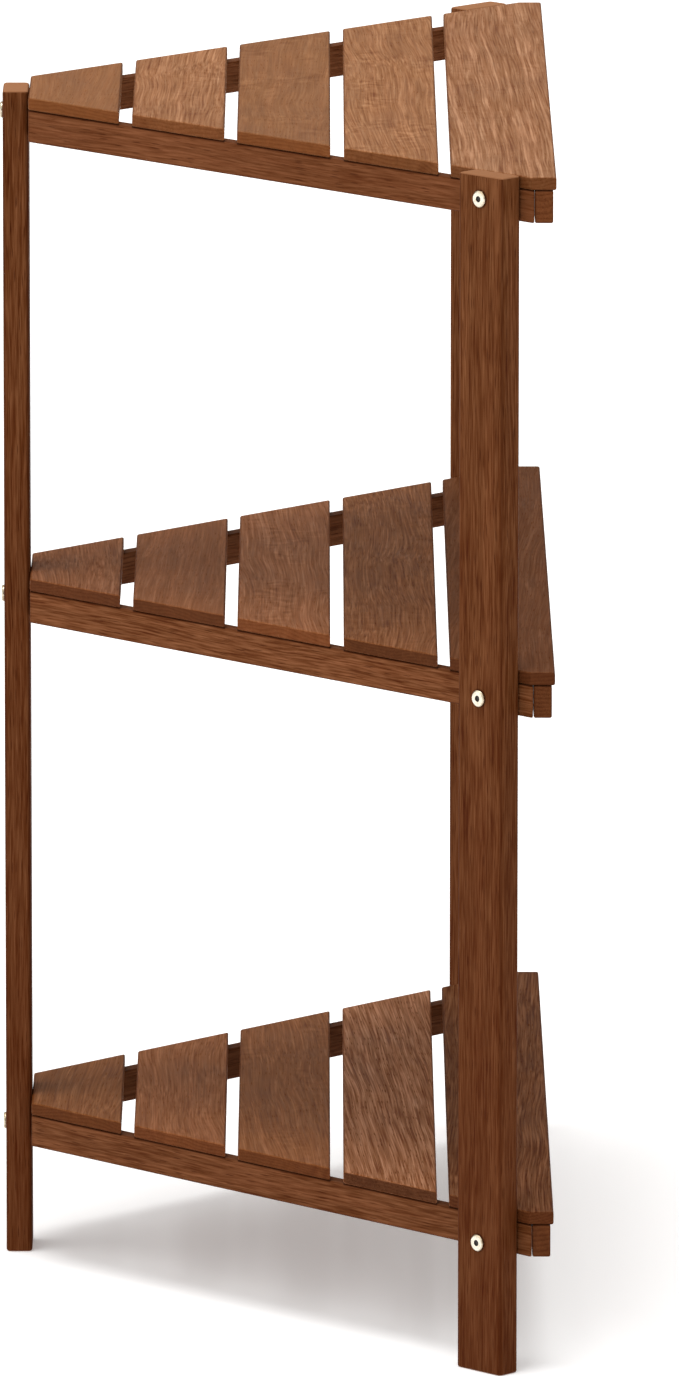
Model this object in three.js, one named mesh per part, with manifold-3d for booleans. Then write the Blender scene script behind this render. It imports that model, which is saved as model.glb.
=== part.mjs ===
// Three-tier corner plant stand in stained hardwood.
//
// Each tier is a triangle with a right angle at the back corner: two side rails, one front rail and a corner block
// carry five slats. Three flat legs are bolted to the tiers, one on each side rail and one across the cut-off corner.
//
// Millimetres, +Z up. The slats run along X, the front edge faces -Y and the corner leg stands at +Y.
// The origin is on the floor, in the middle of the bounding box.

import * as THREE from "three";
import { mergeVertices } from "three/addons/utils/BufferGeometryUtils.js";
import Module from "manifold-3d";

const wasm = await Module();
wasm.setup();

// ---------------------------------------------------------------- driving dimensions

const HEIGHT = 860; // floor to the top of the upper tier and of the legs
const TIERS = [
  // top of the slats, and height of the bolts
  { name: "lower", top: 118.3, bolts: 94 },
  { name: "middle", top: 507.2, bolts: 487 },
  { name: "upper", top: HEIGHT, bolts: 843.2 },
];

const APEX = 427.2; // front edge to the point where the outer faces of the side rails would meet
const BACK = 375.9; // front edge to the cut-off corner
const CLIP = 17.2; // over this depth the ends of the front slat are cut square instead of mitred

const SLATS = [
  // back edge and front edge of each slat, measured from the front edge of the stand
  [375.9, 309.6],
  [300.2, 233.6],
  [224.7, 158.1],
  [148.7, 82.1],
  [73.7, 0],
];
const SLAT_T = 9.4; // slat thickness
const SLAT_R = 1.7; // rounding of its edges

const RAIL_H = 23.4; // rail height
const RAIL_T = 13; // rail thickness
const RAIL_R = 1.6; // rounding of its edges
const FRONT_SETBACK = 2.2; // front face of the front rail behind the edge of the front slat
const RAIL_GAP = 0.3; // between the back of the front rail and the side rails
const BLOCK_D = 25; // depth of the corner block

const LEG_W = 43.8; // leg width
const LEG_T = 19; // leg thickness
const LEG_R = 3; // rounding of its long edges
const LEG_C = 2; // rounding of its ends
const LEG_AT = 56.4; // middle of a side leg, measured along the side rail from the front edge

const GAP = 0.2; // between pieces that are bolted face to face

const HEAD_D = 12; // bolt head
const HEAD_T = 2;
const HEAD_GAP = 0.1;
const SOCKET_AF = 4; // hexagon socket across flats
const SOCKET_DEEP = 1.7;
const BOLT_D = 5.9; // bolt shank
const BOLT_L = 30; // under the head
const BOLT_BORE = 6.8; // hole in the leg

const INSERT_D = 9.4; // insert nut
const INSERT_L = 11.6;
const INSERT_HOLE = 6.3; // inner diameter
const INSERT_BORE = 10; // hole in the rail
const INSERT_IN = 0.7; // depth of its outer end below the surface of the rail

const SCREW_D = 3.4; // wood screw shank
const SCREW_HEAD = 7.4;
const SCREW_CONE = 2.6; // height of the countersunk head
const SCREW_L = 29; // whole length
const SCREW_BORE = 4.2;
const SCREW_FRONT_X = 250; // front rail screws at plus and minus this
const SCREW_BLOCK_X = 17; // corner block screws at plus and minus this
const SCREW_BLOCK_Y = 358; // measured from the front edge

// ---------------------------------------------------------------- colours

const wood = (color, roughness) =>
  new THREE.MeshStandardMaterial({ color, roughness, metalness: 0 });
const LEG_WOOD = () => wood("#6f4129", 0.55);
const RAIL_WOOD = () => wood("#7d4d32", 0.58);
const SLAT_WOOD = { lower: "#9a7358", middle: "#9c7357", upper: "#b08a68" };
const BOLT_METAL = () =>
  new THREE.MeshStandardMaterial({ color: "#ded6c4", roughness: 0.32, metalness: 0.9 });
const INSERT_METAL = () =>
  new THREE.MeshStandardMaterial({ color: "#c3b083", roughness: 0.4, metalness: 0.95 });
const SCREW_METAL = () =>
  new THREE.MeshStandardMaterial({ color: "#b9b6ab", roughness: 0.42, metalness: 0.9 });

// ---------------------------------------------------------------- geometry helpers

const depth = BACK + GAP + LEG_T + HEAD_GAP + HEAD_T;
const Y0 = depth / 2; // y = (distance from the front edge) - Y0

// A closed solid from a geometry, for cutting.
function solid(geometry) {
  const g = geometry.clone();
  g.deleteAttribute("normal");
  if (g.getAttribute("uv")) g.deleteAttribute("uv");
  const m = mergeVertices(g, 1e-4);
  return new wasm.Manifold(
    new wasm.Mesh({
      numProp: 3,
      vertProperties: new Float32Array(m.attributes.position.array),
      triVerts: new Uint32Array(m.index.array),
    }),
  );
}

function geometryOf(manifold) {
  const m = manifold.getMesh();
  const g = new THREE.BufferGeometry();
  g.setAttribute("position", new THREE.BufferAttribute(m.vertProperties, 3));
  g.setIndex(new THREE.BufferAttribute(m.triVerts, 1));
  const flat = g.toNonIndexed();
  flat.computeVertexNormals();
  return flat;
}

function cut(geometry, cutters) {
  let s = solid(geometry);
  for (const c of cutters) s = s.subtract(solid(c));
  return geometryOf(s);
}

// A board lying flat: its outline seen from above, rounded all round with radius r.
function board(outline, z, height, r, segments = 2) {
  const g = new THREE.ExtrudeGeometry(new THREE.Shape(outline.map(([x, y]) => new THREE.Vector2(x, y))), {
    depth: height - 2 * r,
    bevelEnabled: true,
    bevelThickness: r,
    bevelSize: r,
    bevelOffset: -r,
    bevelSegments: segments,
  });
  g.translate(0, 0, z + r);
  return g;
}

// A rectangle with rounded corners, centred on 0,0.
function roundedRectangle(w, h, r, steps = 3) {
  const points = [];
  const corners = [
    [w / 2 - r, h / 2 - r, 0],
    [-w / 2 + r, h / 2 - r, 1],
    [-w / 2 + r, -h / 2 + r, 2],
    [w / 2 - r, -h / 2 + r, 3],
  ];
  for (const [cx, cy, q] of corners)
    for (let i = 0; i <= steps; i++) {
      const a = ((q + i / steps) * Math.PI) / 2;
      points.push([cx + r * Math.cos(a), cy + r * Math.sin(a)]);
    }
  return points;
}

// A turned solid about the Z axis, from [radius, z] points that start and end on the axis, lowest first.
function turned(profile, segments = 20) {
  const g = new THREE.LatheGeometry(
    profile.map(([r, z]) => new THREE.Vector2(r, z)),
    segments,
  );
  g.rotateX(Math.PI / 2); // the turning axis becomes Z, with the profile's second value along it
  return g;
}

// A turned ring, from a closed list of [radius, z] points, anticlockwise seen with radius to the right.
function ring(profile, segments = 20) {
  return turned([...profile, profile[0]], segments);
}

// ---------------------------------------------------------------- places

// Side -1 is the left rail, +1 the right rail. The outer face of a rail runs at 45 degrees.
const D = Math.SQRT1_2;
const face = (side, y, inward = 0) => side * (APEX - y - inward / D);

// The frame of a side leg on its rail: x along the rail towards the corner, y outward, z up.
function legFrame(side) {
  const along = new THREE.Vector3(-side * D, D, 0);
  const out = new THREE.Vector3(side * D, D, 0);
  const base = new THREE.Vector3(side * APEX, -Y0, 0).addScaledVector(along, LEG_AT);
  return { along, out, base };
}

// A matrix that puts the Z axis of a turned piece along `axis`, with its origin at `at`.
function along(axis, at) {
  const m = new THREE.Matrix4().makeRotationFromQuaternion(
    new THREE.Quaternion().setFromUnitVectors(new THREE.Vector3(0, 0, 1), axis),
  );
  return m.setPosition(at);
}

// Where each bolt enters: a point on the outer face of its rail or corner block, and the direction out of the wood.
function boltPlace(where, height) {
  if (where === "corner")
    return {
      at: new THREE.Vector3(0, BACK - Y0, height),
      out: new THREE.Vector3(0, 1, 0),
    };
  const f = legFrame(where === "left" ? -1 : 1);
  return { at: f.base.clone().setZ(height), out: f.out };
}
const WHERES = ["left", "right", "corner"];

// ---------------------------------------------------------------- pieces

const stand = new THREE.Group();

function add(parent, name, geometry, material, matrix) {
  const mesh = new THREE.Mesh(geometry, material);
  mesh.name = name;
  if (matrix) {
    mesh.matrixAutoUpdate = false;
    mesh.matrix.copy(matrix);
  }
  parent.add(mesh);
  return mesh;
}

const cylinderCutter = (d, z0, z1, segments = 20) =>
  turned([[0, z0], [d / 2, z0], [d / 2, z1], [0, z1]], segments);

// Legs. Each is upright, with a hole at each tier.
for (const where of WHERES) {
  let g = board(roundedRectangle(LEG_W, LEG_T, LEG_R), 0, HEIGHT, LEG_C, 2);
  // local x is the width, local y points outward, and y = 0 is the middle of the thickness
  const holes = TIERS.map(({ bolts }) => {
    const c = cylinderCutter(BOLT_BORE, -LEG_T, LEG_T, 16);
    c.rotateX(-Math.PI / 2);
    c.translate(0, 0, bolts);
    return c;
  });
  g = cut(g, holes);
  const place = boltPlace(where, 0);
  const at = place.at.clone().addScaledVector(place.out, GAP + LEG_T / 2).setZ(0);
  const m = new THREE.Matrix4().makeBasis(
    new THREE.Vector3(place.out.y, -place.out.x, 0),
    place.out,
    new THREE.Vector3(0, 0, 1),
  );
  m.setPosition(at);
  add(stand, `leg_${where}`, g, LEG_WOOD(), m);
}

// A wood screw, head down, standing on z = 0.
function screw() {
  const r = SCREW_D / 2;
  const g = turned(
    [
      [0, 0],
      [SCREW_HEAD / 2 - 0.3, 0],
      [SCREW_HEAD / 2, 0.4],
      [r, SCREW_CONE],
      [r, SCREW_L - 6],
      [r * 0.8, SCREW_L - 3],
      [0, SCREW_L],
    ],
    12,
  );
  const bar = (a) => {
    const b = new THREE.BoxGeometry(3.6, 0.9, 2.6);
    b.rotateZ(a);
    return b;
  };
  return geometryOf(solid(g).subtract(solid(bar(0)).add(solid(bar(Math.PI / 2)))));
}

// The hole for it, a little wider all round.
function screwHole(x, y, z) {
  const c = turned(
    [
      [0, -1],
      [SCREW_HEAD / 2 + 0.25, -1],
      [SCREW_HEAD / 2 + 0.25, 0.65],
      [SCREW_BORE / 2, SCREW_CONE + 0.7],
      [SCREW_BORE / 2, SCREW_L + 0.3],
      [0, SCREW_L + 0.3],
    ],
    12,
  );
  c.translate(x, y, z);
  return c;
}

for (const { name: tier, top, bolts } of TIERS) {
  const group = new THREE.Group();
  stand.add(group);
  const under = top - SLAT_T; // underside of the slats
  const low = under - RAIL_H; // underside of the rails

  const frontScrews = [-1, 1].map((s) => [s * SCREW_FRONT_X, FRONT_SETBACK + RAIL_T / 2 - Y0]);
  const blockScrews = [-1, 1].map((s) => [s * SCREW_BLOCK_X, SCREW_BLOCK_Y - Y0]);

  // Slats, numbered from the corner to the front.
  SLATS.forEach(([back, front], i) => {
    const last = i === SLATS.length - 1;
    const outline = last
      ? [
          [face(-1, CLIP), front - Y0],
          [face(1, CLIP), front - Y0],
          [face(1, CLIP), CLIP - Y0],
          [face(1, back), back - Y0],
          [face(-1, back), back - Y0],
          [face(-1, CLIP), CLIP - Y0],
        ]
      : [
          [face(-1, front), front - Y0],
          [face(1, front), front - Y0],
          [face(1, back), back - Y0],
          [face(-1, back), back - Y0],
        ];
    let g = board(outline, under, SLAT_T, SLAT_R, 2);
    const screws = last ? frontScrews : i === 0 ? blockScrews : [];
    if (screws.length) g = cut(g, screws.map(([x, y]) => screwHole(x, y, low)));
    add(group, `slat_${tier}_${i + 1}`, g, wood(SLAT_WOOD[tier], 0.6));
  });

  // Side rails: both ends are cut parallel to the slats.
  const railFront = FRONT_SETBACK + RAIL_T + RAIL_GAP;
  for (const side of [-1, 1]) {
    const where = side < 0 ? "left" : "right";
    const outline = [
      [face(side, railFront), railFront - Y0],
      [face(side, railFront, RAIL_T), railFront - Y0],
      [face(side, BACK, RAIL_T), BACK - Y0],
      [face(side, BACK), BACK - Y0],
    ];
    if (side > 0) outline.reverse();
    const { at, out } = boltPlace(where, bolts);
    const bore = cylinderCutter(INSERT_BORE, -RAIL_T - 2, 2, 18);
    bore.applyMatrix4(along(out, at));
    const g = cut(board(outline, low, RAIL_H, RAIL_R, 2), [bore]);
    add(group, `side_rail_${where}_${tier}`, g, RAIL_WOOD());
  }

  // Front rail.
  {
    const y0 = FRONT_SETBACK - Y0;
    const x = face(1, CLIP);
    const outline = [
      [-x, y0],
      [x, y0],
      [x, y0 + RAIL_T],
      [-x, y0 + RAIL_T],
    ];
    const g = cut(
      board(outline, low, RAIL_H, RAIL_R, 2),
      frontScrews.map(([sx, sy]) => screwHole(sx, sy, low)),
    );
    add(group, `front_rail_${tier}`, g, RAIL_WOOD());
  }

  // Corner block, between the back ends of the side rails.
  {
    const y1 = BACK - BLOCK_D;
    const inner = RAIL_T + GAP;
    const outline = [
      [face(-1, y1, inner), y1 - Y0],
      [face(1, y1, inner), y1 - Y0],
      [face(1, BACK, inner), BACK - Y0],
      [face(-1, BACK, inner), BACK - Y0],
    ];
    const { at, out } = boltPlace("corner", bolts);
    const bore = cylinderCutter(INSERT_BORE, -INSERT_IN - INSERT_L - 1, 2, 18);
    bore.applyMatrix4(along(out, at));
    const g = cut(board(outline, low, RAIL_H, 1.0, 1), [
      bore,
      ...blockScrews.map(([sx, sy]) => screwHole(sx, sy, low)),
    ]);
    add(group, `corner_block_${tier}`, g, RAIL_WOOD());
  }

  // Screws from below.
  frontScrews.forEach(([x, y], i) =>
    add(group, `screw_front_${i ? "right" : "left"}_${tier}`, screw(), SCREW_METAL(), new THREE.Matrix4().makeTranslation(x, y, low)),
  );
  blockScrews.forEach(([x, y], i) =>
    add(group, `screw_corner_${i ? "right" : "left"}_${tier}`, screw(), SCREW_METAL(), new THREE.Matrix4().makeTranslation(x, y, low)),
  );

  // Bolts and insert nuts.
  for (const where of WHERES) {
    const { at, out } = boltPlace(where, bolts);
    const m = along(out, at);

    // The insert nut: a threaded tube with a plain rim, its outer thread simplified to two ridges.
    const ro = INSERT_D / 2;
    const ri = INSERT_HOLE / 2;
    const z1 = -INSERT_IN;
    const z0 = z1 - INSERT_L;
    const outer = [];
    const teeth = 2;
    for (let i = 0; i < teeth; i++) {
      const a = z0 + 1 + ((INSERT_L - 2.6) * i) / teeth;
      const b = z0 + 1 + ((INSERT_L - 2.6) * (i + 1)) / teeth;
      outer.push([ro - 0.6, a], [ro, (a + b) / 2]);
    }
    add(
      group,
      `insert_${where}_${tier}`,
      ring([[ri, z0], [ro - 0.9, z0], ...outer, [ro - 0.6, z1 - 1.6], [ro, z1 - 1.4], [ro, z1], [ri, z1]], 12),
      INSERT_METAL(),
      m,
    );

    // The bolt: a flat head with a chamfered rim and a hexagon socket, on the outer face of the leg.
    const zh = GAP + LEG_T + HEAD_GAP;
    const rb = BOLT_D / 2;
    const head = HEAD_D / 2;
    const tip = zh - BOLT_L;
    let g = turned(
      [
        [0, tip],
        [rb - 0.8, tip],
        [rb, tip + 1],
        [rb, zh],
        [head - 0.35, zh],
        [head, zh + 0.35],
        [head, zh + HEAD_T - 0.7],
        [head - 0.9, zh + HEAD_T],
        [0, zh + HEAD_T],
      ],
      20,
    );
    const socket = new THREE.CylinderGeometry(SOCKET_AF / Math.sqrt(3), SOCKET_AF / Math.sqrt(3), 2 * SOCKET_DEEP, 6);
    socket.rotateX(Math.PI / 2);
    socket.translate(0, 0, zh + HEAD_T);
    g = cut(g, [socket]);
    add(group, `bolt_${where}_${tier}`, g, BOLT_METAL(), m);
  }
}

export default stand;
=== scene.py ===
import math
import random

import bmesh
import bpy
from mathutils import Matrix, Vector, noise


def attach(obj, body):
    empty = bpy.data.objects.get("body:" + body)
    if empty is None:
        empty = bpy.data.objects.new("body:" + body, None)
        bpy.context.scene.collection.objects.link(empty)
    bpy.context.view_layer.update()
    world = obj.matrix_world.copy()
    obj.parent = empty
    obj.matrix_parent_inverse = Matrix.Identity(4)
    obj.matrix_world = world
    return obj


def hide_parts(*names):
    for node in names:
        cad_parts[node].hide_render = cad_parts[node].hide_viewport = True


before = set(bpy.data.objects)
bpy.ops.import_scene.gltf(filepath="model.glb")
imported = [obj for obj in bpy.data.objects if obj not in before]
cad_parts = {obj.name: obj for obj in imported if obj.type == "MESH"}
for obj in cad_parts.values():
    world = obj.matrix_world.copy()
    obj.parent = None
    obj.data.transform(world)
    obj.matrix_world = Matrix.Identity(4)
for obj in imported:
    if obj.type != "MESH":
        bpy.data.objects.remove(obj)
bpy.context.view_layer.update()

# ---------------------------------------------------------------- dimensions, in metres, as in the frame

MM = 0.001
HEIGHT = 860 * MM
TIERS = (("lower", 118.3 * MM, 94 * MM), ("middle", 507.2 * MM, 487 * MM), ("upper", 860 * MM, 843.2 * MM))
APEX, BACK, CLIP = 427.2 * MM, 375.9 * MM, 17.2 * MM
SLATS = [(a * MM, b * MM) for a, b in ((375.9, 309.6), (300.2, 233.6), (224.7, 158.1), (148.7, 82.1), (73.7, 0))]
SLAT_T, SLAT_R = 9.4 * MM, 1.7 * MM
RAIL_H, RAIL_T, RAIL_R = 23.4 * MM, 13 * MM, 1.6 * MM
FRONT_SETBACK, RAIL_GAP, BLOCK_D = 2.2 * MM, 0.3 * MM, 25 * MM
LEG_W, LEG_T, LEG_R, LEG_C, LEG_AT = 43.8 * MM, 19 * MM, 3 * MM, 2 * MM, 56.4 * MM
GAP = 0.2 * MM
HEAD_D, HEAD_T, HEAD_GAP = 12 * MM, 2 * MM, 0.1 * MM
SOCKET_AF, SOCKET_DEEP = 4 * MM, 1.7 * MM
BOLT_D, BOLT_L, BOLT_BORE = 5.9 * MM, 30 * MM, 6.8 * MM
INSERT_D, INSERT_L, INSERT_HOLE, INSERT_BORE, INSERT_IN = 9.4 * MM, 11.6 * MM, 6.3 * MM, 10 * MM, 0.7 * MM
SCREW_D, SCREW_HEAD, SCREW_CONE, SCREW_L, SCREW_BORE = 3.4 * MM, 7.4 * MM, 2.6 * MM, 29 * MM, 4.2 * MM
SCREW_FRONT_X, SCREW_BLOCK_X, SCREW_BLOCK_Y = 250 * MM, 17 * MM, 358 * MM

DEPTH = BACK + GAP + LEG_T + HEAD_GAP + HEAD_T
Y0 = DEPTH / 2
D = math.sqrt(0.5)


def face(side, y, inward=0.0):
    """X of a side rail's face at a distance y from the front edge."""
    return side * (APEX - y - inward / D)


# ---------------------------------------------------------------- material nodes


class Tree:
    """Short names for building a node tree."""

    def __init__(self, name):
        self.mat = bpy.data.materials.new(name)
        self.mat.use_nodes = True
        self.t = self.mat.node_tree
        self.t.nodes.clear()
        self.out = self.t.nodes.new("ShaderNodeOutputMaterial")
        self.bsdf = self.t.nodes.new("ShaderNodeBsdfPrincipled")
        self.t.links.new(self.bsdf.outputs[0], self.out.inputs[0])

    def put(self, socket, value):
        if isinstance(value, bpy.types.NodeSocket):
            self.t.links.new(value, socket)
        elif value is not None:
            socket.default_value = value

    def node(self, kind, inputs=(), **props):
        n = self.t.nodes.new(kind)
        for k, v in props.items():
            setattr(n, k, v)
        for k, v in dict(inputs).items():
            self.put(n.inputs[k], v)
        return n

    def m(self, op, a, b=None, c=None, clamp=False):
        n = self.node("ShaderNodeMath", operation=op, use_clamp=clamp)
        for i, v in enumerate((a, b, c)):
            self.put(n.inputs[i], v)
        return n.outputs[0]

    def add(self, *a):
        s = a[0]
        for b in a[1:]:
            s = self.m("ADD", s, b)
        return s

    def sub(self, a, b):
        return self.m("SUBTRACT", a, b)

    def mul(self, *a):
        s = a[0]
        for b in a[1:]:
            s = self.m("MULTIPLY", s, b)
        return s

    def scaled(self, v, scale, shift=(0, 0, 0)):
        n = self.node("ShaderNodeVectorMath", operation="MULTIPLY_ADD")
        self.put(n.inputs[0], v)
        n.inputs[1].default_value = scale
        n.inputs[2].default_value = shift
        return n.outputs[0]

    def xyz(self, x, y, z):
        n = self.node("ShaderNodeCombineXYZ")
        for i, v in enumerate((x, y, z)):
            self.put(n.inputs[i], v)
        return n.outputs[0]

    def split(self, v):
        return self.node("ShaderNodeSeparateXYZ", {0: v}).outputs

    def noise(self, v, detail=2.0, rough=0.5, distortion=0.0, colour=False, scale=1.0):
        n = self.node("ShaderNodeTexNoise", {"Vector": v}, noise_dimensions="3D")
        n.inputs["Scale"].default_value = scale
        n.inputs["Detail"].default_value = detail
        n.inputs["Roughness"].default_value = rough
        n.inputs["Distortion"].default_value = distortion
        return n.outputs["Color" if colour else "Fac"]

    def cells(self, v, randomness=1.0):
        n = self.node("ShaderNodeTexVoronoi", {"Vector": v}, voronoi_dimensions="3D", feature="F1")
        n.inputs["Scale"].default_value = 1.0
        n.inputs["Randomness"].default_value = randomness
        return n.outputs["Distance"], n.outputs["Color"]

    def span(self, v, a, b, c=0.0, d=1.0, smooth=True):
        n = self.node("ShaderNodeMapRange", interpolation_type="SMOOTHSTEP" if smooth else "LINEAR")
        self.put(n.inputs["Value"], v)
        n.inputs["From Min"].default_value = a
        n.inputs["From Max"].default_value = b
        n.inputs["To Min"].default_value = c
        n.inputs["To Max"].default_value = d
        return n.outputs["Result"]

    def ramp(self, v, stops, how="LINEAR"):
        n = self.node("ShaderNodeValToRGB", {0: v})
        n.color_ramp.interpolation = how
        e = n.color_ramp.elements
        while len(e) < len(stops):
            e.new(0.5)
        for i, (at, c) in enumerate(stops):
            e[i].position = at
            e[i].color = (*c, 1.0)
        return n.outputs[0]

    def mix(self, fac, a, b, how="MIX"):
        n = self.node("ShaderNodeMix", data_type="RGBA", blend_type=how)
        self.put(n.inputs["Factor"], fac)
        for k, v in (("A", a), ("B", b)):
            socket = [s for s in n.inputs if s.name == k and s.type == "RGBA"][0]
            self.put(socket, v if isinstance(v, bpy.types.NodeSocket) else (*v, 1.0))
        return [s for s in n.outputs if s.type == "RGBA"][0]


def shade(c, f):
    return tuple(x * f for x in c)


# Mean colours of the clean wood, linear.
LEG_TONE = (0.114, 0.0375, 0.0120)
RAIL_TONE = (0.134, 0.0448, 0.0160)
SLAT_TONE = (0.255, 0.1070, 0.0470)

FIGURES = {
    # fleck, fibre, streak, vein: length and width in mm, and strength, of the flecks, of the fine lines, of the broad
    # bands and of the pale streaks along the board; cloud: strength of the patches; ring: spacing in mm and strength
    # on the long faces and on the ends; pith: how far outside the board its rings are centred, in mm; bend: how far
    # the grain wanders, in mm, slowly and quickly; skew: most that it runs off the board's own direction; curl:
    # strength of the ripples across the grain; pores: strength of the dark pores; gloss: of the oil; shades:
    # brightness of the two darker tones; pale: how much more green and blue vary than red from dark to light; round:
    # radius of the long edges in mm, and how dark they are painted as shade; cut: tint of the cross-cut faces
    "leg": dict(fleck=(36, 2.0, 0.40), fibre=(30, 1.15, 1.15), streak=(260, 8.0, 0.16), vein=(300, 6.0, 0.06), cloud=0.18, ring=(5.2, 0.05, 0.20), pith=90, bend=(4.0, 0.6), skew=0.012, curl=0.06, pores=1.2, gloss=0.02, shades=(0.42, 0.74), pale=(1.45, 2.1), round=(3.3, 0.46), cut=(1.03, 0.90, 0.75), tone=LEG_TONE),
    "rail": dict(fleck=(26, 1.9, 0.34), fibre=(26, 1.15, 1.05), streak=(200, 5.5, 0.14), vein=(260, 5.0, 0.06), cloud=0.16, ring=(3.4, 0.05, 0.16), pith=110, bend=(3.4, 0.5), skew=0.015, curl=0.07, pores=1.2, gloss=0.02, shades=(0.42, 0.74), pale=(1.35, 1.9), round=(1.6, 0.50), cut=(0.98, 0.90, 0.74), tone=RAIL_TONE),
    "slat": dict(fleck=(85, 2.6, 0.40), fibre=(75, 1.20, 1.35), streak=(240, 5.0, 0.13), vein=(520, 4.6, 0.15), cloud=0.14, ring=(2.5, 0.03, 0.15), pith=300, bend=(9.0, 0.42), skew=0.05, curl=0.14, pores=0.35, gloss=0.08, shades=(0.52, 0.80), pale=(1.45, 2.2), round=(1.7, 0.72), cut=(1.03, 0.83, 0.64), tone=SLAT_TONE),
}


def wood(name, kind, frame_of, half, ends, seed, tone=1.0, warm=0.0, gold=0.0, figure=1.0, curl=1.0, patch=1.0, end_tone=0.8, pores=1.0, streaks=1.0, veins=1.0, stretch=1.0, skew=None, sway=1.0, gloss=1.0, fade=0.0, bolts=(), open_at=()):
    """A solid oiled hardwood, the same through the whole board.

    frame_of: the board's own frame, with its X along the grain. half: half its width and half its thickness.
    ends: its end planes, as the distance inside them: ("pair", a, b, c) for c - a|x| - b y, ("skew", a, b, c) for
    c - |a x + b y|. tone scales its brightness, warm turns it redder, gold more golden, figure scales the strength of
    the flecks, sway how far its grain wanders, end_tone the brightness of the cross-cut faces. fade darkens the board
    towards its low X end as painted shade. bolts are the X of the bolt heads that sit on its +Z face, each ringed on
    the wood by painted shade. open_at: where the top of a rail lies open, as (low, high) world Y; the painted shade on
    the rail's top is left off there, and that on its rounded edges is weakened.
    """
    f = FIGURES[kind]
    rnd = random.Random(seed * 7919 + 13)
    g = Tree(name)
    coords = g.node("ShaderNodeTexCoord")
    back = frame_of.inverted()
    local = g.node("ShaderNodeMapping", {"Vector": coords.outputs["Object"]}, vector_type="POINT")
    local.inputs["Scale"].default_value = (1000, 1000, 1000)
    local.inputs["Rotation"].default_value = tuple(back.to_euler("XYZ"))
    local.inputs["Location"].default_value = tuple(back.translation * 1000)
    P = local.outputs[0]
    shift = tuple(rnd.uniform(-900, 900) for _ in range(3))
    x, y, z = g.split(P)
    if skew is None:
        skew = rnd.uniform(-f["skew"], f["skew"])

    # The grain wanders slowly, and waves a little at a smaller scale.
    b1, b2 = (b * sway for b in f["bend"])
    slow = g.split(g.noise(g.scaled(P, (0.0048, 0.013, 0.013), tuple(s * 0.01 for s in shift)), 1.0, 0.4, colour=True))
    fast = g.split(g.noise(g.scaled(P, (0.021, 0.036, 0.036), tuple(s * 0.037 for s in shift)), 1.0, 0.5, colour=True))
    wy = g.add(y, g.m("MULTIPLY", x, skew), g.mul(g.sub(slow[0], 0.5), 2 * b1), g.mul(g.sub(fast[0], 0.5), 2 * b2))
    wz = g.add(z, g.mul(g.sub(slow[1], 0.5), 2 * b1), g.mul(g.sub(fast[1], 0.5), 2 * b2))

    # Growth rings about a pith that runs nearly along the board, well outside it.
    lean, turn = rnd.uniform(-0.02, 0.02), rnd.uniform(-0.02, 0.02)
    depth = f["pith"] * rnd.uniform(0.8, 1.25) * rnd.choice((-1, 1))
    aside = rnd.uniform(-0.35, 0.35) * half[0] / MM
    ry = g.add(wy, g.m("MULTIPLY", x, turn), aside)
    rz = g.add(wz, g.m("MULTIPLY", x, lean), depth)
    radius = g.m("SQRT", g.add(g.mul(ry, ry), g.mul(rz, rz)))
    pace = g.noise(g.scaled(P, (0.006, 0.05, 0.05), tuple(s * 0.013 for s in shift)), 1.0)
    spacing, ring_flat, ring_end = f["ring"]
    turns = g.m("FRACT", g.add(g.m("DIVIDE", radius, spacing * rnd.uniform(0.88, 1.15)), g.mul(pace, 2.2)))
    ring = g.mul(g.span(turns, 0.25, 0.88), g.span(turns, 0.92, 1.0, 1.0, 0.0))

    # Flecks and fibres, long along the grain.
    fl, fw, fs = f["fleck"]
    Q = g.xyz(x, wy, wz)
    fl *= stretch
    fleck = g.noise(g.scaled(Q, (1 / fl, 1 / fw, 1 / fw), tuple(s * 0.07 for s in shift)), 2.0, 0.55)
    glint = g.span(g.noise(g.scaled(Q, (1.3 / fl, 1.5 / fw, 1.5 / fw), tuple(s * 0.17 for s in shift)), 1.0, 0.5), 0.52, 0.72)
    fibre = g.noise(g.scaled(Q, (1 / f["fibre"][0] / stretch, 1 / f["fibre"][1], 1 / f["fibre"][1]), tuple(s * 0.11 for s in shift)), 1.0, 0.5)
    streak = g.noise(g.scaled(Q, (1 / f["streak"][0], 1 / f["streak"][1], 1 / f["streak"][1]), tuple(s * 0.05 for s in shift)), 2.0, 0.5)
    vl, vw, vs = f["vein"]
    vein = g.mul(g.span(g.noise(g.scaled(Q, (1 / vl, 1 / vw, 1 / vw), tuple(s * 0.21 for s in shift)), 1.0, 0.5), 0.53, 0.64), g.span(glint, 0.0, 0.6, 0.6, 1.0))
    cloud = g.noise(g.scaled(P, (0.012, 0.030, 0.030), tuple(s * 0.019 for s in shift)), 2.0, 0.5)

    # Ripples across the grain where the fibres weave, in patches.
    swirl = g.xyz(g.add(x, g.mul(fast[2], 26.0), g.mul(slow[2], 30.0)), g.add(y, g.mul(fast[0], 6.0)), z)
    beat = g.mul(g.sub(g.noise(g.scaled(swirl, (1 / rnd.uniform(8.0, 10.0), 1 / rnd.uniform(8.0, 15.0), 1 / 12.0), tuple(s * 0.31 for s in shift)), 1.0, 0.5), 0.5), 5.0)
    area = g.span(g.noise(g.scaled(P, (0.013, 0.030, 0.030), tuple(s * 0.023 for s in shift)), 1.0), 0.44, 0.66)
    ripple = g.mul(beat, area)

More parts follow.
